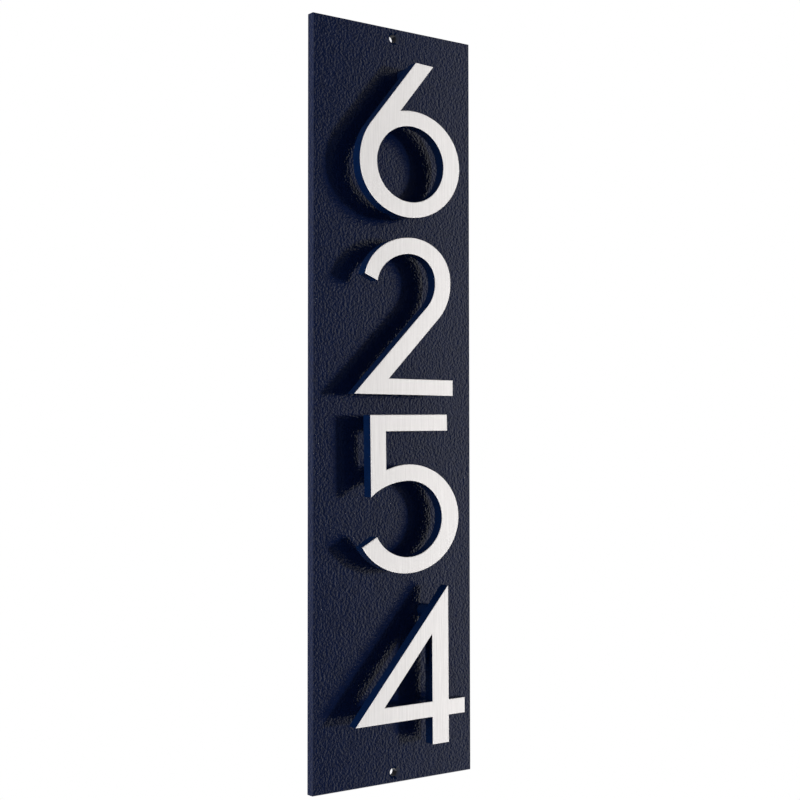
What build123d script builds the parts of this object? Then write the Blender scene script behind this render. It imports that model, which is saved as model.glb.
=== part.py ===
from build123d import *
import math
import os

# House number plaque: an upright plate with four plain numerals that stand
# clear of it on hidden spacers.
# Millimetres. The finished part has +Z up and its front faces -Y, with the
# origin at the centre of the plate's back face. Each piece is drawn lying
# down, as seen from the front: x to the right, y up the plate and z from the
# back face towards the viewer. write() stands it up.

# Numerals, all four
numeral_height = 102.0
numeral_thickness = 7.9
numeral_edge_break = 0.3
numeral_stand_off = 12.0

# Plate: its height follows from the column of numerals and the margins
plate_width = 127.0
plate_thickness = 6.5
plate_edge_break = 0.4
top_margin = 26.25
six_to_two_gap = 12.9
two_to_five_gap = 12.7
five_to_four_gap = 9.6
bottom_margin = 25.85

# Wall holes, countersunk from the front, one near each end of the plate
wall_hole_inset = 6.35
wall_hole_diameter = 5.4
wall_sink_diameter = 8.8
wall_sink_angle = 90.0

# Sideways place of each numeral's own centre line, and its turn in degrees,
# anticlockwise as seen from the front
six_shift = -0.9
six_turn = 0.0
two_shift = -6.2
two_turn = 0.0
five_shift = -2.2
five_turn = 0.8
four_shift = -1.1
four_turn = 0.3

# Numeral 6
six_bowl_rx = 40.1
six_bowl_ry = 34.8
six_bowl_tilt = 7.0
six_shoulder_ry = 38.4
six_side_stroke = 13.3
six_crown_stroke = 10.1
six_lean = 39.4
six_stem_width = 11.4
six_cut_fall = 2.8

# Numeral 2
two_bowl_rx = 34.8
two_bowl_ry = 28.3
two_bowl_tilt = 12.0
two_bowl_shift = 2.95
two_haunch_ry = 33.5
two_side_stroke = 12.8
two_crown_stroke = 10.6
two_hook_stroke = 10.6
two_hook_out_angle = 20.9
two_hook_in_angle = 13.3
two_lean = 45.0
two_diagonal_width = 11.8
two_base_stroke = 10.3
two_base_right = 39.4

# Numeral 5
five_bowl_rx = 41.0
five_bowl_ry = 35.0
five_bowl_tilt = 1.4
five_bowl_shift = -1.2
five_side_stroke = 13.8
five_crown_stroke = 10.6
five_foot_stroke = 10.5
five_inner_shoulder_rx = 37.0
five_hook_out_angle = 26.5
five_hook_in_angle = 23.4
five_stem_left = -30.2
five_stem_width = 12.0
five_arm_stroke = 10.6
five_arm_right = 31.2

# Numeral 4
four_stem_right = 30.4
four_stem_width = 13.3
four_lean = 41.2
four_diagonal_width = 10.2
four_bar_base = 17.7
four_bar_stroke = 10.0
four_arm_reach = 13.3

# Studs: screwed into the numeral, through a spacer, and bonded into the plate
stud_diameter = 4.0
stud_depth_in_numeral = 5.6
stud_depth_in_plate = 4.6
thread_clearance = 0.05
bond_clearance = 0.15
spacer_clearance = 0.25
blind_hole_spare = 0.4
spacer_diameter = 9.0

# Where the studs stand, along the middle lines of the strokes
six_stem_stud_drop = 5.0
six_foot_stud_x = 0.8
two_base_stud_x = 0.0
four_apex_stud_drop = 17.3

# What follows from the sizes above
plate_height = (
    top_margin + 4 * numeral_height + bottom_margin
    + six_to_two_gap + two_to_five_gap + five_to_four_gap
)
six_row = (plate_height - numeral_height) / 2 - top_margin
two_row = six_row - numeral_height - six_to_two_gap
five_row = two_row - numeral_height - two_to_five_gap
four_row = five_row - numeral_height - five_to_four_gap
numeral_back = plate_thickness + numeral_stand_off


def heading(lean):
    """Unit vector that climbs to the right, so many degrees off the upright."""
    return Vector(math.sin(math.radians(lean)), math.cos(math.radians(lean)))


def rightwards(direction):
    """The same direction, turned a quarter turn clockwise."""
    return Vector(direction.Y, -direction.X)


def at_height(point, direction, height):
    """Where a line reaches a height."""
    return point + direction * ((height - point.Y) / direction.Y)


def lines_meet(p, d, q, e):
    """Where two lines meet, each given by a point and a direction."""
    gap = q - p
    return p + d * ((gap.X * e.Y - gap.Y * e.X) / (d.X * e.Y - d.Y * e.X))


def joined(*points):
    """Straight edges from point to point."""
    return [Line(a, b) for a, b in zip(points, points[1:])]


class Oval:
    """Tilted ellipse whose points are named by angles from its own long axis."""

    def __init__(self, rx, ry, tilt, centre=Vector(0, 0)):
        self.rx = rx
        self.ry = ry
        self.tilt = tilt
        self.centre = centre

    def own(self, vector):
        """A vector in the ellipse's own axes."""
        return vector.rotate(Axis.Z, -self.tilt)

    def point(self, angle):
        """Point at an angle."""
        turn = math.radians(angle)
        arm = Vector(self.rx * math.cos(turn), self.ry * math.sin(turn))
        return self.centre + arm.rotate(Axis.Z, self.tilt)

    def arc(self, start, end):
        """Arc from one angle to another, either way round."""
        return EllipticalCenterArc(
            self.centre, self.rx, self.ry, start, arc_size=end - start, rotation=self.tilt
        )

    def reach(self, direction):
        """How far the ellipse reaches from its centre in a direction."""
        way = self.own(direction)
        return math.hypot(self.rx * way.X, self.ry * way.Y)

    def tangent_angle(self, direction):
        """Where the ellipse, followed anticlockwise, runs along a direction."""
        way = self.own(direction)
        return math.degrees(math.atan2(-way.X / self.rx, way.Y / self.ry))

    def exit_angle(self, point, direction):
        """Where a line leaves the ellipse, going along its direction."""
        start = self.own(point - self.centre)
        way = self.own(direction)
        px, py = start.X / self.rx, start.Y / self.ry
        dx, dy = way.X / self.rx, way.Y / self.ry
        a = dx * dx + dy * dy
        b = px * dx + py * dy
        c = px * px + py * py - 1.0
        travel = (math.sqrt(b * b - a * c) - b) / a
        return math.degrees(math.atan2(py + travel * dy, px + travel * dx))


UP = Vector(0, 1)


def six_bowl():
    """The 6's outer bowl, standing on the base line."""
    bowl = Oval(six_bowl_rx, six_bowl_ry, six_bowl_tilt)
    bowl.centre = UP * bowl.reach(UP)
    return bowl


def six_shoulder():
    """Fuller upper left quarter of the 6's bowl, which runs into the stem."""
    return Oval(six_bowl_rx, six_shoulder_ry, six_bowl_tilt, six_bowl().centre)


def six_outline():
    """Full bowl with a leaning stem that grows out of its left shoulder."""
    bowl = six_bowl()
    shoulder = six_shoulder()
    up = heading(six_lean)
    touch = shoulder.tangent_angle(-up)
    left_line = shoulder.point(touch)
    right_line = left_line + rightwards(up) * six_stem_width
    cut_left = at_height(left_line, up, numeral_height)
    cut_right = lines_meet(cut_left, rightwards(heading(six_cut_fall)), right_line, up)
    crotch = bowl.exit_angle(right_line, up)
    edges = [shoulder.arc(touch, 180), bowl.arc(-180, crotch)]
    edges += joined(bowl.point(crotch), cut_right, cut_left, left_line)
    counter = Oval(
        six_bowl_rx - six_side_stroke, six_bowl_ry - six_crown_stroke, six_bowl_tilt, bowl.centre
    )
    return make_face(edges) - make_face([counter.arc(0, 360)])


def six_studs():
    """On the stem near its cut, and at the foot of the bowl."""
    shoulder = six_shoulder()
    up = heading(six_lean)
    left_line = shoulder.point(shoulder.tangent_angle(-up))
    middle_line = left_line + rightwards(up) * (six_stem_width / 2)
    stem = at_height(middle_line, up, numeral_height - six_stem_stud_drop)
    return [stem, Vector(six_foot_stud_x, six_crown_stroke / 2)]


def two_outline():
    """Open bowl that runs into a straight diagonal and a flat base."""
    bowl = Oval(two_bowl_rx, two_bowl_ry, two_bowl_tilt)
    bowl.centre = Vector(two_bowl_shift, numeral_height - bowl.reach(UP))
    haunch = Oval(two_bowl_rx, two_haunch_ry, two_bowl_tilt, bowl.centre)
    inner_rx = two_bowl_rx - two_side_stroke
    inner_ry = two_bowl_ry - two_crown_stroke
    inner = Oval(inner_rx, inner_ry, two_bowl_tilt, bowl.centre)
    hook = Oval(two_bowl_rx - two_hook_stroke, inner_ry, two_bowl_tilt, bowl.centre)
    up = heading(two_lean)
    aside = haunch.own(rightwards(up))
    inner_reach = haunch.reach(rightwards(up)) - two_diagonal_width
    inner_haunch_ry = math.sqrt(inner_reach**2 - (inner_rx * aside.X) ** 2) / abs(aside.Y)
    inner_haunch = Oval(inner_rx, inner_haunch_ry, two_bowl_tilt, bowl.centre)
    touch = haunch.tangent_angle(up)
    inner_touch = inner_haunch.tangent_angle(up)
    hook_out = 180 - two_hook_out_angle
    hook_in = 180 - two_hook_in_angle
    edges = [
        haunch.arc(touch, 0),
        bowl.arc(0, hook_out),
        hook.arc(hook_in, 90),
        inner.arc(90, 0),
        inner_haunch.arc(0, inner_touch),
    ]
    edges += joined(bowl.point(hook_out), hook.point(hook_in))
    edges += joined(
        inner_haunch.point(inner_touch),
        at_height(inner_haunch.point(inner_touch), up, 0),
        Vector(two_base_right, 0),
        Vector(two_base_right, two_base_stroke),
        at_height(haunch.point(touch), up, two_base_stroke),
        haunch.point(touch),
    )
    return make_face(edges)


def two_studs():
    """At the crown of the bowl, and in the base."""
    crown = Vector(two_bowl_shift, numeral_height - two_crown_stroke / 2)
    return [crown, Vector(two_base_stud_x, two_base_stroke / 2)]


def five_outline():
    """Flat arm, upright stem and a bowl that is open at its lower left."""
    bowl = Oval(five_bowl_rx, five_bowl_ry, five_bowl_tilt)
    bowl.centre = Vector(five_bowl_shift, bowl.reach(UP))
    inner_rx = five_bowl_rx - five_side_stroke
    inner_ry = five_bowl_ry - (five_crown_stroke + five_foot_stroke) / 2
    inner = Oval(inner_rx, inner_ry, five_bowl_tilt)
    inner.centre = Vector(five_bowl_shift, five_foot_stroke + inner.reach(UP))
    shoulder = Oval(five_inner_shoulder_rx, inner_ry, five_bowl_tilt, inner.centre)
    stem_left = Vector(five_stem_left, bowl.centre.Y)
    stem_right = Vector(five_stem_left + five_stem_width, bowl.centre.Y)
    joint = bowl.exit_angle(stem_right, UP)
    tip = shoulder.exit_angle(stem_left, UP)
    hook_out = five_hook_out_angle - 180
    hook_in = five_hook_in_angle - 180
    arm_base = numeral_height - five_arm_stroke
    edges = [
        bowl.arc(hook_out, joint),
        shoulder.arc(tip, 90),
        inner.arc(90, hook_in),
    ]
    edges += joined(inner.point(hook_in), bowl.point(hook_out))
    edges += joined(
        bowl.point(joint),
        Vector(stem_right.X, arm_base),
        Vector(five_arm_right, arm_base),
        Vector(five_arm_right, numeral_height),
        Vector(five_stem_left, numeral_height),
        shoulder.point(tip),
    )
    return make_face(edges)


def five_studs():
    """In the middle of the arm, and at the foot of the bowl."""
    arm_x = (five_stem_left + five_arm_right) / 2
    arm = Vector(arm_x, numeral_height - five_arm_stroke / 2)
    return [arm, Vector(five_bowl_shift, five_foot_stroke / 2)]


def four_tip():
    """Sharp left end of the 4, where its diagonal meets the bar's base."""
    apex = Vector(four_stem_right, numeral_height)
    return at_height(apex, heading(four_lean), four_bar_base)


def four_outline():
    """Pointed 4: stem, diagonal and crossbar round a three-cornered counter."""
    up = heading(four_lean)
    stem_left = four_stem_right - four_stem_width
    bar_top = four_bar_base + four_bar_stroke
    arm_right = four_stem_right + four_arm_reach
    outline = joined(
        Vector(four_stem_right, numeral_height),
        four_tip(),
        Vector(stem_left, four_bar_base),
        Vector(stem_left, 0),
        Vector(four_stem_right, 0),
        Vector(four_stem_right, four_bar_base),
        Vector(arm_right, four_bar_base),
        Vector(arm_right, bar_top),
        Vector(four_stem_right, bar_top),
        Vector(four_stem_right, numeral_height),
    )
    inner_line = four_tip() + rightwards(up) * four_diagonal_width
    counter_left = at_height(inner_line, up, bar_top)
    counter_top = lines_meet(inner_line, up, Vector(stem_left, 0), UP)
    counter = joined(counter_left, Vector(stem_left, bar_top), counter_top, counter_left)
    return make_face(outline) - make_face(counter)


def four_studs():
    """On the stem: under the apex, and where the bar crosses it."""
    stem_x = four_stem_right - four_stem_width / 2
    bar_y = four_bar_base + four_bar_stroke / 2
    return [Vector(stem_x, numeral_height - four_apex_stud_drop), Vector(stem_x, bar_y)]


def in_row(shape, row, shift, turn):
    """Put what was drawn from a numeral's base line into its row."""
    return Pos(shift, row) * Rot(0, 0, turn) * Pos(0, -numeral_height / 2) * shape


def rod(diameter, start, end):
    """Round bar along z from one depth to another."""
    return Pos(0, 0, start) * extrude(Circle(diameter / 2), end - start)


def numeral(outline, studs):
    """Extrude an outline, ease its front edges and bore its blind holes."""
    body = Pos(0, 0, numeral_back) * extrude(outline, numeral_thickness)
    body = chamfer(body.faces().sort_by(Axis.Z)[-1].edges(), numeral_edge_break)
    floor = numeral_back + stud_depth_in_numeral + blind_hole_spare
    drill = rod(stud_diameter + 2 * thread_clearance, numeral_back, floor)
    for spot in studs:
        body -= Pos(spot.X, spot.Y) * drill
    return body


def wall_hole():
    """Cutter for a wall hole, with its countersink in the plate's front face."""
    slope = math.tan(math.radians(wall_sink_angle / 2))
    depth = (wall_sink_diameter - wall_hole_diameter) / 2 / slope
    sink = Cone(wall_hole_diameter / 2, wall_sink_diameter / 2, depth)
    bore = rod(wall_hole_diameter, 0, plate_thickness)
    return bore + Pos(0, 0, plate_thickness - depth / 2) * sink


def stud_hole():
    """Cutter for a stud's blind hole in the plate's front face."""
    floor = plate_thickness - stud_depth_in_plate - blind_hole_spare
    return rod(stud_diameter + 2 * bond_clearance, floor, plate_thickness)


def back_plate(stud_spots):
    """Plate with eased edges, two wall holes and the studs' blind holes."""
    blank = extrude(Rectangle(plate_width, plate_height), plate_thickness)
    plate = chamfer(blank.edges(), plate_edge_break)
    hole_y = plate_height / 2 - wall_hole_inset
    for y in (-hole_y, hole_y):
        plate -= Pos(0, y) * wall_hole()
    for spot in stud_spots:
        plate -= Pos(spot.X, spot.Y) * stud_hole()
    return plate


def spacer():
    """Plain round spacer, from the plate's front to the numeral's back."""
    bore = rod(stud_diameter + 2 * spacer_clearance, plate_thickness, numeral_back)
    return rod(spacer_diameter, plate_thickness, numeral_back) - bore


def stud():
    """Headless stud that carries the numeral and keeps the spacer on its axis."""
    tail = plate_thickness - stud_depth_in_plate
    return rod(stud_diameter, tail, numeral_back + stud_depth_in_numeral)


def write(shape, name):
    """Stand a piece up, its front to -Y, and export it under its own name."""
    export_step(Plane.XZ.location * shape, os.path.join("parts", name + ".step"))


def main():
    os.makedirs("parts", exist_ok=True)
    numerals = {
        "6": (six_outline(), six_studs(), (six_row, six_shift, six_turn)),
        "2": (two_outline(), two_studs(), (two_row, two_shift, two_turn)),
        "5": (five_outline(), five_studs(), (five_row, five_shift, five_turn)),
        "4": (four_outline(), four_studs(), (four_row, four_shift, four_turn)),
    }
    stud_spots = []
    for digit, (outline, studs, place) in numerals.items():
        write(in_row(numeral(outline, studs), *place), "numeral_" + digit)
        for end, local_spot in zip(("upper", "lower"), studs):
            spot = in_row(Pos(local_spot.X, local_spot.Y), *place).position
            stud_spots.append(spot)
            write(Pos(spot.X, spot.Y) * spacer(), "spacer_" + digit + "_" + end)
            write(Pos(spot.X, spot.Y) * stud(), "stud_" + digit + "_" + end)
    write(back_plate(stud_spots), "back_plate")


main()
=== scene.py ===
"""House number plaque: the looks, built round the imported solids.

Metres, +Z up, the front faces -Y, origin at the centre of the plate's back face.
"""

import math

import bmesh
import bpy
from bpy.props import FloatProperty, FloatVectorProperty, PointerProperty
from mathutils import Matrix, Vector


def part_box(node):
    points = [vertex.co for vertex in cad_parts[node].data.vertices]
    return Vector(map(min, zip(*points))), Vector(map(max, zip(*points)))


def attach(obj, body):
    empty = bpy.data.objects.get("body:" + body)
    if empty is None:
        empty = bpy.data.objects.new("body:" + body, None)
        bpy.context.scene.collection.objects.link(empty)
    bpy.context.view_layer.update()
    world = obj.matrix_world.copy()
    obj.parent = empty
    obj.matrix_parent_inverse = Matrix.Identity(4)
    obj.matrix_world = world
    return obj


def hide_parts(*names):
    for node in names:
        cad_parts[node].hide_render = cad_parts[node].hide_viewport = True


bl_info = {
    "name": "House number plaque",
    "version": (1, 0, 0),
    "blender": (4, 5, 0),
    "location": "View3D > Sidebar > Plaque",
    "description": "Builds a tall house number plaque, piece by piece, round its packed solids",
    "category": "Object",
}

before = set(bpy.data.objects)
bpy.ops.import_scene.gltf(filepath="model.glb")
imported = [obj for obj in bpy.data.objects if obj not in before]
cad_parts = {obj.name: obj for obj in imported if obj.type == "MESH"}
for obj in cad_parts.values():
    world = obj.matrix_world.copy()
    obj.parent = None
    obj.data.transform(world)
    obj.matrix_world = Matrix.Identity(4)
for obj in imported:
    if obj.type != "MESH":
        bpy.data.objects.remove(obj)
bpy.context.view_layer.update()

MM = 0.001
NUMERALS = ("6", "2", "5", "4")
ENDS = ("upper", "lower")
PLATE_LOW, PLATE_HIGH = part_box("back_plate")
SPACER_LOW, SPACER_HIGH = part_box("spacer_6_upper")
STUD_LOW, STUD_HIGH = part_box("stud_6_upper")

# Meshes: angles that count as flat and as sharp, the distance in which points merge, and the
# number of sides of the round pieces.
FLAT = math.radians(0.5)
SHARP = math.radians(32)
MERGE = 0.001 * MM
HOLE_SIDES = 64
SPACER_SIDES = 48
FLOOR_SIDES = 96

# Limits on the Y of a face's normal: a numeral's front lies below the first, a hole's wall
# between the second and its opposite, an end past the third, and a flat end past the fourth.
FRONT_TURN = -0.4
WALL_TURN = 0.8
END_TURN = 0.9
FLAT_TURN = 0.999

# Coat: how fine its tone, its dullness and its waviness are, in noise cells per metre.
COAT_TONE = 260
COAT_DULLNESS = 420
COAT_WAVES = 640
COAT_IOR = 1.34

# Brushing: strokes and the wider bands among them, in noise cells per metre along X, Y and Z.
STROKES = (3600, 900, 60)
BANDS = (1300, 300, 22)
STROKE_SHARE = 0.65
STROKE_DEPTH = 0.02 * MM

# Thread of the studs, and how much darker the shade painted into its grooves is.
THREAD_PITCH = 0.7 * MM
GROOVE_PAINTED_SHADE = 0.82

# The camera that was fitted to the plate's corners: place in metres, angles in degrees.
CAMERA_PLACE = (-0.55026, -0.76645, -0.02668)
CAMERA_AZIMUTH = math.radians(36.13)
CAMERA_PITCH = math.radians(1.736)
CAMERA_ROLL = math.radians(-0.061)
SENSOR_WIDTH = 36

# Lamps: width and height, and place, in metres.
KEY_SIZE = (0.30, 0.50)
KEY_PLACE = (2.68, -4.00, 0.08)
SIDE_SIZE = (0.8, 1.2)
SIDE_PLACE = (-1.15, 0.0, 0.15)

# What a reflection sees of the room depends on its direction, where X is 1 to the right and Y
# is 1 to the back. Each pair holds the values of X or Y between which a light rises or falls.
BACK_RISE = (0.72, 1.0)
SOFT_RISE = (0.516, 0.81)
SOFT_FALL = (0.76, 0.88)
AHEAD_FALL = (0.0, 0.3)
FRONT_FALL = (-0.2, 0.1)
BACK_DIM = 0.05
SOFT_REST = 0.38
FLOOR_TINT = (0.8, 0.8, 0.8, 1)
FLOOR_GLOW = 0.5
WHITE = (1, 1, 1, 1)


def length(name, description, default):
    """A size that a user may change, in metres."""
    return FloatProperty(name=name, description=description, default=default, min=0, unit="LENGTH")


def colour(name, description, default):
    """A colour that a user may change, as linear red, green and blue."""
    return FloatVectorProperty(
        name=name, description=description, default=default, size=3, min=0, max=1, subtype="COLOR"
    )


def fraction(name, description, default):
    """A value from 0 to 1 that a user may change."""
    return FloatProperty(name=name, description=description, default=default, min=0, max=1)


def brightness(name, description, default):
    """How bright a part of the room is, where 1 is white."""
    return FloatProperty(name=name, description=description, default=default, min=0)


def power(name, description, default):
    """The power of a lamp, in watts."""
    return FloatProperty(name=name, description=description, default=default, min=0, unit="POWER")


class PlaqueSizes(bpy.types.PropertyGroup):
    """Sizes of what the solids leave to the looks"""

    edge_break: length("Edge break", "Eased edge all round the plate", 0.4 * MM)
    relief_pitch: length(
        "Relief pitch", "Distance between the points that carry the relief", 0.86 * MM
    )
    relief_grain: length("Relief grain", "Size of one pebble of the coat", 1.6 * MM)
    relief_depth: length("Relief depth", "Full depth of the coat's pebbles", 0.24 * MM)
    relief_fade: length(
        "Relief fade", "Width in which the pebbles die out at edges and holes", 1.6 * MM
    )
    hole_inset: length("Hole inset", "Wall hole's centre from the plate's end", 6.35 * MM)
    hole_width: length("Hole width", "Diameter of a wall hole", 5.4 * MM)
    sink_width: length("Sink width", "Diameter of a wall hole's countersink at the front", 8.8 * MM)
    numeral_round: length("Numeral rounding", "Rounding of the numerals' edges", 0.09 * MM)
    spacer_break: length("Spacer edge", "Eased edge at a spacer's ends", 0.3 * MM)
    bore_gap: length("Bore gap", "How much wider a spacer's bore is than its stud", 0.5 * MM)


class PlaqueFinishes(bpy.types.PropertyGroup):
    """Colours, waviness and roughness of the finishes"""

    coat: colour("Coat", "Navy of the pebbled powder coat", (0.0023, 0.0060, 0.0268))
    coat_deep: colour("Coat, deep", "Navy in the pebbled coat's hollows", (0.0017, 0.0045, 0.0204))
    edge_coat: colour("Edge coat", "Navy of the numerals' smooth edges", (0.0006, 0.0056, 0.0260))
    edge_coat_deep: colour(
        "Edge coat, deep", "Darker navy of the same edges", (0.0004, 0.0043, 0.0210)
    )
    face: colour("Face", "Brushed face, bright strokes", (0.95, 0.923, 0.912))
    face_deep: colour("Face, deep", "Brushed face, dull strokes", (0.75, 0.727, 0.716))
    stud: colour("Stud", "Plain steel", (0.45, 0.45, 0.46))
    coat_grain: length("Coat grain", "Fine waviness of the pebbled coat", 0.22 * MM)
    edge_grain: length("Edge grain", "Fine waviness of the smooth coat", 0.006 * MM)
    coat_roughness: fraction("Coat roughness", "Roughness of the coat", 0.10)
    face_roughness: fraction("Face roughness", "Roughness of the brushed faces", 0.42)


class PlaqueStage(bpy.types.PropertyGroup):
    """Studio round the plaque"""

    floor_drop: length("Floor drop", "Floor below the plaque's lower end", 0.70)
    floor_radius: length("Floor radius", "Radius of the round floor", 1.8)
    room_light: brightness("Room light", "Even light from all sides", 0.36)
    soft_light: brightness("Soft light", "Wide soft light at the right, in reflections", 3.05)
    front_glow: brightness("Front glow", "What the faces mirror straight ahead", 1.0)
    key_light: power("Key light", "Light at the right that casts the numerals' shadows", 150.0)
    side_light: power("Side light", "Soft light at the left, on the edges", 25.0)
    lens: FloatProperty(name="Lens", description="Focal length in mm", default=64.28, min=1)


def only(obj):
    """Select one object alone and make it active."""
    bpy.ops.object.select_all(action="DESELECT")
    obj.select_set(True)
    bpy.context.view_layer.objects.active = obj
    return obj


def added(name):
    """Name the primitive that was just added."""
    obj = bpy.context.object
    obj.name = name
    obj.data.name = name
    return obj


def start_edit(obj):
    """Go into edit mode with nothing selected."""
    only(obj)
    bpy.ops.object.mode_set(mode="EDIT")
    bpy.ops.mesh.select_mode(type="FACE")
    bpy.ops.mesh.select_all(action="DESELECT")


def stop_edit():
    """Go back to object mode, which writes the edited mesh."""
    bpy.ops.object.mode_set(mode="OBJECT")


def paint_picked(obj):
    """In edit mode, give the selected faces the second material."""
    obj.active_material_index = 1
    bpy.ops.object.material_slot_assign()


def pick_faces(test):
    """In edit mode, select just the faces that pass a test."""
    mesh = bmesh.from_edit_mesh(bpy.context.object.data)
    bpy.ops.mesh.select_all(action="DESELECT")
    for face in mesh.faces:
        face.select_set(bool(test(face)))
    mesh.select_flush_mode()
    bmesh.update_edit_mesh(bpy.context.object.data)


def pick_edges(test):
    """In edit mode, select just the edges that pass a test."""
    bpy.ops.mesh.select_mode(type="EDGE")
    mesh = bmesh.from_edit_mesh(bpy.context.object.data)
    bpy.ops.mesh.select_all(action="DESELECT")
    for edge in mesh.edges:
        edge.select_set(bool(test(edge)))
    bmesh.update_edit_mesh(bpy.context.object.data)


def place_in_mesh(obj):
    """Move the object's place, turn and scale into its mesh."""
    only(obj)
    bpy.ops.object.transform_apply(location=True, rotation=True, scale=True)


def apply_modifier(obj, kind, name, **values):
    """Add one modifier with its values and apply it."""
    only(obj)
    modifier = obj.modifiers.new(name, kind)
    for key, value in values.items():
        setattr(modifier, key, value)
    bpy.ops.object.modifier_apply(modifier=modifier.name)


def smooth(obj):
    """Smooth shading that keeps the sharp edges."""
    only(obj)
    bpy.ops.object.shade_smooth_by_angle(angle=SHARP)


def new_material(name):
    """A material with one Principled shader, and its tree."""
    material = bpy.data.materials.new(name)
    material.use_nodes = True
    return material, material.node_tree, material.node_tree.nodes["Principled BSDF"]


def noise(tree, scale, stretch=(1, 1, 1), detail=2.0, roughness=0.5):
    """Noise on object coordinates, stretched along the axes."""
    place = tree.nodes.new("ShaderNodeTexCoord")
    mapping = tree.nodes.new("ShaderNodeMapping")
    mapping.inputs["Scale"].default_value = stretch
    texture = tree.nodes.new("ShaderNodeTexNoise")
    texture.inputs["Scale"].default_value = scale
    texture.inputs["Detail"].default_value = detail
    texture.inputs["Roughness"].default_value = roughness
    tree.links.new(place.outputs["Object"], mapping.inputs["Vector"])
    tree.links.new(mapping.outputs["Vector"], texture.inputs["Vector"])
    return texture.outputs["Fac"]


def spread(tree, value, low, high, start=0.3, end=0.7):
    """A value stretched from one range to another."""
    node = tree.nodes.new("ShaderNodeMapRange")
    node.inputs["From Min"].default_value = start
    node.inputs["From Max"].default_value = end
    node.inputs["To Min"].default_value = low
    node.inputs["To Max"].default_value = high
    tree.links.new(value, node.inputs["Value"])
    return node.outputs["Result"]


def between(tree, value, dark, light):
    """A colour between two, chosen by a value."""
    node = tree.nodes.new("ShaderNodeMix")
    node.data_type = "RGBA"
    node.inputs["A"].default_value = (*dark, 1)
    node.inputs["B"].default_value = (*light, 1)
    tree.links.new(value, node.inputs["Factor"])
    return node.outputs["Result"]


def together(tree, value, share, rest):
    """A value times its share, plus the rest."""
    node = tree.nodes.new("ShaderNodeMath")
    node.operation = "MULTIPLY_ADD"
    for source, socket in zip((value, share, rest), node.inputs):
        if hasattr(source, "links"):
            tree.links.new(source, socket)
        else:
            socket.default_value = source
    return node.outputs[0]


def bump(tree, shader, height, distance):
    """Bump from a height from 0 to 1, over a distance in metres."""
    node = tree.nodes.new("ShaderNodeBump")
    node.inputs["Distance"].default_value = distance
    tree.links.new(height, node.inputs["Height"])
    tree.links.new(node.outputs["Normal"], shader.inputs["Normal"])


def coat_material(name, deep, light, grain, roughness):
    """Glossy navy powder coat in two tones. The grain is its fine waviness, in metres."""
    material, tree, shader = new_material(name)
    tone = spread(tree, noise(tree, COAT_TONE, detail=3), 0, 1)
    tree.links.new(between(tree, tone, deep, light), shader.inputs["Base Color"])
    dull = spread(tree, noise(tree, COAT_DULLNESS, detail=2), roughness * 0.9, roughness * 1.1)
    tree.links.new(dull, shader.inputs["Roughness"])
    shader.inputs["IOR"].default_value = COAT_IOR
    bump(tree, shader, noise(tree, COAT_WAVES, detail=1.5), grain)
    return material


def smooth_coat(finish):
    """The smooth navy of the numerals' edges, the spacers and the wall holes."""
    name = "smooth_coat"
    if name in bpy.data.materials:
        return bpy.data.materials[name]
    return coat_material(
        name, finish.edge_coat_deep, finish.edge_coat, finish.edge_grain, finish.coat_roughness
    )


def brushed_material(name, finish):
    """Aluminium brushed upright, in fine strokes of uneven length."""
    material, tree, shader = new_material(name)
    strokes = noise(tree, 1, STROKES, detail=3, roughness=0.6)
    bands = noise(tree, 1, BANDS, detail=2)
    both = together(tree, strokes, STROKE_SHARE, spread(tree, bands, 0, 1 - STROKE_SHARE, 0, 1))
    tone = between(tree, spread(tree, both, 0, 1), finish.face_deep, finish.face)
    tree.links.new(tone, shader.inputs["Base Color"])
    dull = spread(tree, both, finish.face_roughness * 1.1, finish.face_roughness * 0.9)
    tree.links.new(dull, shader.inputs["Roughness"])
    shader.inputs["Metallic"].default_value = 1.0
    bump(tree, shader, strokes, STROKE_DEPTH)
    return material


def threaded_material(name, tint):
    """Threaded metal, ringed along Y, with shade painted darker into its grooves."""
    material, tree, shader = new_material(name)
    rings = noise(tree, 1, (1, 1 / THREAD_PITCH, 1), detail=1)
    # Painted shade: the steel's tint is darkened where the rings dip, in the thread's grooves.
    painted_groove_shade = [channel * GROOVE_PAINTED_SHADE for channel in tint]
    tone = between(tree, spread(tree, rings, 0, 1), painted_groove_shade, tint)
    tree.links.new(tone, shader.inputs["Base Color"])
    tree.links.new(spread(tree, rings, 0.24, 0.36), shader.inputs["Roughness"])
    shader.inputs["Metallic"].default_value = 1.0
    bump(tree, shader, rings, THREAD_PITCH / 8)
    return material


def past_front(sizes):
    """The Y that parts the grid at the plate's front from all that lies behind it."""
    return PLATE_LOW.y + sizes.edge_break / 4


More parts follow.
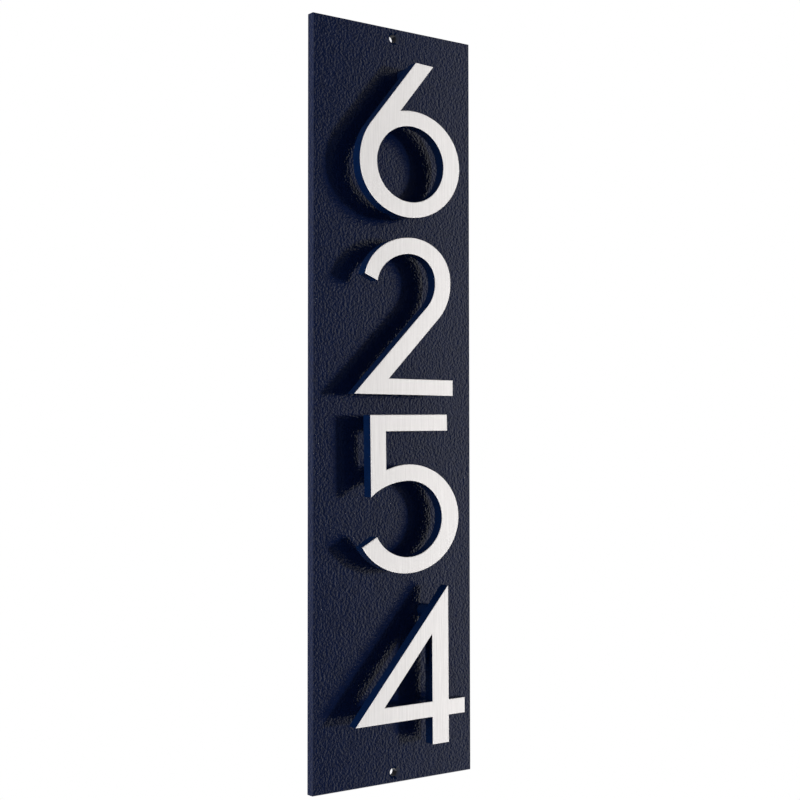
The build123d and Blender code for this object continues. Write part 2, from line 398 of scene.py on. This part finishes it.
def slab(name, sizes):
    """The plate's body: a fine grid at the front, drawn back over the plate's depth."""
    span = PLATE_HIGH - PLATE_LOW
    width = span.x - 2 * sizes.edge_break
    height = span.z - 2 * sizes.edge_break
    bpy.ops.mesh.primitive_grid_add(
        x_subdivisions=round(width / sizes.relief_pitch),
        y_subdivisions=round(height / sizes.relief_pitch),
        size=1,
        location=(0, PLATE_LOW.y, 0),
        rotation=(math.pi / 2, 0, 0),
    )
    plate = added(name)
    plate.scale = (width, height, 1)
    place_in_mesh(plate)
    wider = (span.x / width, 1, span.z / height)
    narrower = (width / span.x, 1, height / span.z)
    steps = (
        (sizes.edge_break, wider),
        (span.y - 2 * sizes.edge_break, (1, 1, 1)),
        (sizes.edge_break, narrower),
    )
    start_edit(plate)
    pick_edges(lambda edge: edge.is_boundary)
    for depth, factor in steps:
        bpy.ops.mesh.extrude_edges_move(TRANSFORM_OT_translate={"value": (0, depth, 0)})
        bpy.ops.transform.resize(value=factor, center_override=(0, 0, 0))
    bpy.ops.mesh.edge_face_add()
    bpy.ops.mesh.select_mode(type="FACE")
    pick_faces(lambda face: face.calc_center_median().y > past_front(sizes))
    bpy.ops.mesh.dissolve_limited(angle_limit=FLAT)
    stop_edit()
    return plate


def add_relief(plate, holes, sizes):
    """Raise the coat's pebbles on the front, dying out towards edges and holes."""
    group = plate.vertex_groups.new(name="relief")
    half_width = PLATE_HIGH.x - sizes.edge_break
    half_height = PLATE_HIGH.z - sizes.edge_break
    rim = sizes.sink_width / 2
    for vertex in plate.data.vertices:
        co = vertex.co
        if co.y > past_front(sizes):
            continue
        clear = min(half_width - abs(co.x), half_height - abs(co.z))
        for hole in holes:
            clear = min(clear, math.hypot(co.x - hole.x, co.z - hole.z) - rim)
        share = min(max(clear / sizes.relief_fade, 0), 1)
        if share > 0:
            group.add([vertex.index], share, "REPLACE")
    pebbles = bpy.data.textures.new("coat_pebbles", "CLOUDS")
    pebbles.noise_basis = "IMPROVED_PERLIN"
    pebbles.noise_scale = sizes.relief_grain
    pebbles.noise_depth = 1
    apply_modifier(
        plate, "DISPLACE", "relief", texture=pebbles, texture_coords="LOCAL", direction="Y",
        strength=sizes.relief_depth, mid_level=0.5, vertex_group="relief",
    )


def countersink_cutter(hole, sizes):
    """Solid of one wall hole: a bore with a flared mouth at the plate's front."""
    past = 1 * MM
    depth = PLATE_HIGH.y - PLATE_LOW.y + 2 * past
    bpy.ops.mesh.primitive_cylinder_add(
        vertices=HOLE_SIDES, radius=sizes.hole_width / 2, depth=depth,
        location=(hole.x, PLATE_LOW.y - past + depth / 2, hole.z), rotation=(math.pi / 2, 0, 0),
    )
    cutter = added("wall_hole_cutter")
    place_in_mesh(cutter)
    sink_depth = (sizes.sink_width - sizes.hole_width) / 2
    flare = (sizes.sink_width / 2 + past) / (sizes.hole_width / 2)
    start_edit(cutter)
    pick_faces(lambda face: face.normal.y < -END_TURN)
    bpy.ops.transform.translate(value=(0, past + sink_depth, 0))
    bpy.ops.mesh.extrude_region_move(
        TRANSFORM_OT_translate={"value": (0, -past - sink_depth, 0)}
    )
    bpy.ops.transform.resize(value=(flare, 1, flare), center_override=hole)
    stop_edit()
    return cutter


def coat_holes(plate, holes, sizes):
    """Give the walls of the wall holes the plate's second material."""
    rim = sizes.sink_width / 2
    start_edit(plate)
    pick_faces(
        lambda face: abs(face.normal.y) < WALL_TURN
        and any((face.calc_center_median() - hole).xz.length < rim for hole in holes)
    )
    paint_picked(plate)
    stop_edit()


def wear(piece, slot_name, *nodes):
    """Finish a new piece: it rides on the one body and stands for its solids."""
    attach(piece, "root")
    if nodes:
        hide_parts(*nodes)


def repaint(node, material):
    """Give a solid that stays a better material."""
    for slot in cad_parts[node].material_slots:
        slot.material = material


class PLAQUE_OT_back_plate(bpy.types.Operator):
    """Build the plate with its pebbled coat and its two wall holes"""

    bl_idname = "plaque.back_plate"
    bl_label = "Back plate"

    def execute(self, context):
        sizes = context.scene.plaque_sizes
        plate = slab("plate_coated", sizes)
        reach = PLATE_HIGH.z - sizes.hole_inset
        holes = [Vector((0, 0, z)) for z in (reach, -reach)]
        add_relief(plate, holes, sizes)
        for hole in holes:
            cutter = countersink_cutter(hole, sizes)
            apply_modifier(plate, "BOOLEAN", "wall_hole", operation="DIFFERENCE", object=cutter)
            bpy.data.objects.remove(cutter)
        smooth(plate)
        finish = context.scene.plaque_finishes
        coat = coat_material(
            "pebbled_coat", finish.coat_deep, finish.coat, finish.coat_grain, finish.coat_roughness
        )
        plate.data.materials.clear()
        plate.data.materials.append(coat)
        plate.data.materials.append(smooth_coat(finish))
        coat_holes(plate, holes, sizes)
        wear(plate, "navy_coat", "back_plate")
        return {"FINISHED"}


class PLAQUE_OT_numerals(bpy.types.Operator):
    """Build the four numerals, brushed in front and coated at edge and back"""

    bl_idname = "plaque.numerals"
    bl_label = "Numerals"

    def execute(self, context):
        sizes = context.scene.plaque_sizes
        finish = context.scene.plaque_finishes
        coat = smooth_coat(finish)
        brushed = brushed_material("brushed_face", finish)
        for digit in NUMERALS:
            node = "numeral_" + digit
            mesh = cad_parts[node].data.copy()
            numeral = bpy.data.objects.new("numeral_%s_brushed" % digit, mesh)
            context.scene.collection.objects.link(numeral)
            mesh.materials.clear()
            mesh.materials.append(coat)
            mesh.materials.append(brushed)
            start_edit(numeral)
            bpy.ops.mesh.select_all(action="SELECT")
            bpy.ops.mesh.remove_doubles(threshold=MERGE)
            bpy.ops.mesh.dissolve_limited(angle_limit=FLAT)
            stop_edit()
            for polygon in mesh.polygons:
                polygon.material_index = 0
            apply_modifier(
                numeral, "BEVEL", "edge_rounding", width=sizes.numeral_round, segments=2,
                limit_method="ANGLE", angle_limit=SHARP,
            )
            start_edit(numeral)
            pick_faces(lambda face: face.normal.y < FRONT_TURN)
            paint_picked(numeral)
            stop_edit()
            smooth(numeral)
            apply_modifier(numeral, "WEIGHTED_NORMAL", "flat_faces", keep_sharp=True)
            wear(numeral, "numeral", node)
        return {"FINISHED"}


class PLAQUE_OT_spacers(bpy.types.Operator):
    """Build the eight spacers that hold the numerals clear of the plate"""

    bl_idname = "plaque.spacers"
    bl_label = "Spacers"

    def execute(self, context):
        sizes = context.scene.plaque_sizes
        material = smooth_coat(context.scene.plaque_finishes)
        span = SPACER_HIGH - SPACER_LOW
        bore = STUD_HIGH.x - STUD_LOW.x + sizes.bore_gap
        bpy.ops.mesh.primitive_cylinder_add(
            vertices=SPACER_SIDES, radius=span.x / 2, depth=span.y,
            location=(0, (SPACER_LOW.y + SPACER_HIGH.y) / 2, 0), rotation=(math.pi / 2, 0, 0),
        )
        pattern = added("spacer_pattern")
        place_in_mesh(pattern)
        start_edit(pattern)
        pick_faces(lambda face: abs(face.normal.y) > END_TURN)
        bpy.ops.mesh.bevel(offset=sizes.spacer_break, segments=2, affect="EDGES")
        pick_faces(lambda face: abs(face.normal.y) > FLAT_TURN)
        bpy.ops.mesh.inset(thickness=(span.x - bore) / 2 - sizes.spacer_break)
        bpy.ops.mesh.delete(type="ONLY_FACE")
        pick_edges(lambda edge: edge.is_boundary)
        bpy.ops.mesh.bridge_edge_loops()
        stop_edit()
        smooth(pattern)
        for digit in NUMERALS:
            for end in ENDS:
                node = "spacer_%s_%s" % (digit, end)
                low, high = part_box(node)
                middle = (low + high) / 2
                mesh = pattern.data.copy()
                mesh.transform(Matrix.Translation((middle.x, 0, middle.z)))
                mesh.materials.clear()
                mesh.materials.append(material)
                spacer = bpy.data.objects.new(node + "_coated", mesh)
                context.scene.collection.objects.link(spacer)
                wear(spacer, "spacer", node)
        bpy.data.objects.remove(pattern)
        return {"FINISHED"}


class PLAQUE_OT_studs(bpy.types.Operator):
    """Finish the eight hidden studs"""

    bl_idname = "plaque.studs"
    bl_label = "Studs"

    def execute(self, context):
        material = threaded_material("threaded_stud", context.scene.plaque_finishes.stud)
        for digit in NUMERALS:
            for end in ENDS:
                repaint("stud_%s_%s" % (digit, end), material)
        return {"FINISHED"}


def studio_rays(tree):
    """Two values: 1 for a camera ray, and 1 for that or a ray in a reflection or glass."""
    rays = tree.nodes.new("ShaderNodeLightPath")
    camera = rays.outputs["Is Camera Ray"]
    looking = camera
    for name in ("Is Glossy Ray", "Is Transmission Ray"):
        node = tree.nodes.new("ShaderNodeMath")
        node.operation = "MAXIMUM"
        tree.links.new(looking, node.inputs[0])
        tree.links.new(rays.outputs[name], node.inputs[1])
        looking = node.outputs[0]
    return camera, looking


def make_world(scene, stage):
    """White background, even light, and in reflections a dim room with soft lights."""
    world = bpy.data.worlds.new("studio")
    scene.world = world
    world.use_nodes = True
    tree = world.node_tree
    shader = tree.nodes["Background"]
    camera, looking = studio_rays(tree)
    way = tree.nodes.new("ShaderNodeTexCoord")
    parts = tree.nodes.new("ShaderNodeSeparateXYZ")
    tree.links.new(way.outputs["Generated"], parts.inputs["Vector"])
    to_right, to_back = parts.outputs["X"], parts.outputs["Y"]
    back = spread(tree, to_back, BACK_DIM, 1, *BACK_RISE)
    soft = spread(tree, to_right, 0, stage.soft_light, *SOFT_RISE)
    fade = spread(tree, to_right, 1, SOFT_REST, *SOFT_FALL)
    ahead = spread(tree, to_right, stage.front_glow, 0, *AHEAD_FALL)
    front = spread(tree, to_back, 1, 0, *FRONT_FALL)
    room = together(tree, together(tree, soft, fade, ahead), front, back)
    seen = tree.nodes.new("ShaderNodeMix")
    seen.inputs["B"].default_value = 1.0
    tree.links.new(camera, seen.inputs["Factor"])
    tree.links.new(room, seen.inputs["A"])
    strength = tree.nodes.new("ShaderNodeMix")
    strength.inputs["A"].default_value = stage.room_light
    tree.links.new(looking, strength.inputs["Factor"])
    tree.links.new(seen.outputs["Result"], strength.inputs["B"])
    tree.links.new(strength.outputs["Result"], shader.inputs["Strength"])
    shader.inputs["Color"].default_value = WHITE


def make_floor(stage):
    """Round pale floor that keeps the shadow and looks white."""
    height = PLATE_LOW.z - stage.floor_drop
    bpy.ops.mesh.primitive_circle_add(
        vertices=FLOOR_SIDES, radius=stage.floor_radius, fill_type="NGON", location=(0, 0, height)
    )
    floor = added("studio_floor")
    place_in_mesh(floor)
    material, tree, shader = new_material("pale_floor")
    shader.inputs["Base Color"].default_value = FLOOR_TINT
    shader.inputs["Roughness"].default_value = 0.9
    shader.inputs["Specular IOR Level"].default_value = 0.0
    shader.inputs["Emission Color"].default_value = WHITE
    looking = studio_rays(tree)[1]
    glow = spread(tree, looking, 0, FLOOR_GLOW, 0, 1)
    tree.links.new(glow, shader.inputs["Emission Strength"])
    floor.data.materials.append(material)


def make_lamp(name, size, place, energy):
    """Soft rectangular lamp that faces the plaque and doesn't show in reflections."""
    data = bpy.data.lights.new(name, "AREA")
    data.shape = "RECTANGLE"
    data.size, data.size_y = size
    data.energy = energy
    lamp = bpy.data.objects.new(name, data)
    bpy.context.scene.collection.objects.link(lamp)
    lamp.location = place
    lamp.rotation_euler = (-Vector(place)).to_track_quat("-Z", "Y").to_euler()
    lamp.visible_camera = False
    lamp.visible_glossy = False


def make_camera(scene, stage):
    """Camera at the left, level with the plaque's middle."""
    data = bpy.data.cameras.new("camera")
    data.sensor_width = SENSOR_WIDTH
    data.sensor_fit = "HORIZONTAL"
    data.lens = stage.lens
    data.clip_start = 0.01
    camera = bpy.data.objects.new("camera", data)
    scene.collection.objects.link(camera)
    scene.camera = camera
    level = Vector((math.sin(CAMERA_AZIMUTH), math.cos(CAMERA_AZIMUTH), 0))
    ahead = level * math.cos(CAMERA_PITCH) + Vector((0, 0, math.sin(CAMERA_PITCH)))
    right = Vector((math.cos(CAMERA_AZIMUTH), -math.sin(CAMERA_AZIMUTH), 0))
    up = right.cross(ahead)
    side = right * math.cos(CAMERA_ROLL) + up * math.sin(CAMERA_ROLL)
    top = up * math.cos(CAMERA_ROLL) - right * math.sin(CAMERA_ROLL)
    turn = Matrix((side, top, -ahead)).transposed()
    camera.matrix_world = Matrix.Translation(CAMERA_PLACE) @ turn.to_4x4()


class PLAQUE_OT_stage(bpy.types.Operator):
    """Build the studio: floor, background, lamps and camera"""

    bl_idname = "plaque.stage"
    bl_label = "Stage"

    def execute(self, context):
        scene = context.scene
        stage = scene.plaque_stage
        make_world(scene, stage)
        make_floor(stage)
        make_lamp("key_lamp", KEY_SIZE, KEY_PLACE, stage.key_light)
        make_lamp("side_lamp", SIDE_SIZE, SIDE_PLACE, stage.side_light)
        make_camera(scene, stage)
        scene.view_settings.view_transform = "Standard"
        return {"FINISHED"}


class PLAQUE_PT_panel(bpy.types.Panel):
    """Steps that build the plaque"""

    bl_idname = "PLAQUE_PT_panel"
    bl_label = "House number plaque"
    bl_space_type = "VIEW_3D"
    bl_region_type = "UI"
    bl_category = "Plaque"

    def draw(self, context):
        for operator in OPERATORS:
            self.layout.operator(operator.bl_idname)
        for group in GROUPS:
            settings = getattr(context.scene, group)
            box = self.layout.box()
            for name in settings.bl_rna.properties.keys():
                if name not in ("rna_type", "name"):
                    box.prop(settings, name)


GROUPS = {
    "plaque_sizes": PlaqueSizes,
    "plaque_finishes": PlaqueFinishes,
    "plaque_stage": PlaqueStage,
}
OPERATORS = (
    PLAQUE_OT_back_plate,
    PLAQUE_OT_numerals,
    PLAQUE_OT_spacers,
    PLAQUE_OT_studs,
    PLAQUE_OT_stage,
)


def register():
    """Register the classes and put the settings on the scene."""
    for cls in (*GROUPS.values(), *OPERATORS, PLAQUE_PT_panel):
        bpy.utils.register_class(cls)
    for name, cls in GROUPS.items():
        setattr(bpy.types.Scene, name, PointerProperty(type=cls))


def unregister():
    """Take back what register did."""
    for name in GROUPS:
        delattr(bpy.types.Scene, name)
    for cls in reversed((*GROUPS.values(), *OPERATORS, PLAQUE_PT_panel)):
        bpy.utils.unregister_class(cls)


def main():
    """Build the plaque and its studio."""
    register()
    bpy.ops.plaque.back_plate()
    bpy.ops.plaque.numerals()
    bpy.ops.plaque.spacers()
    bpy.ops.plaque.studs()
    bpy.ops.plaque.stage()


if __name__ == "__main__":
    main()
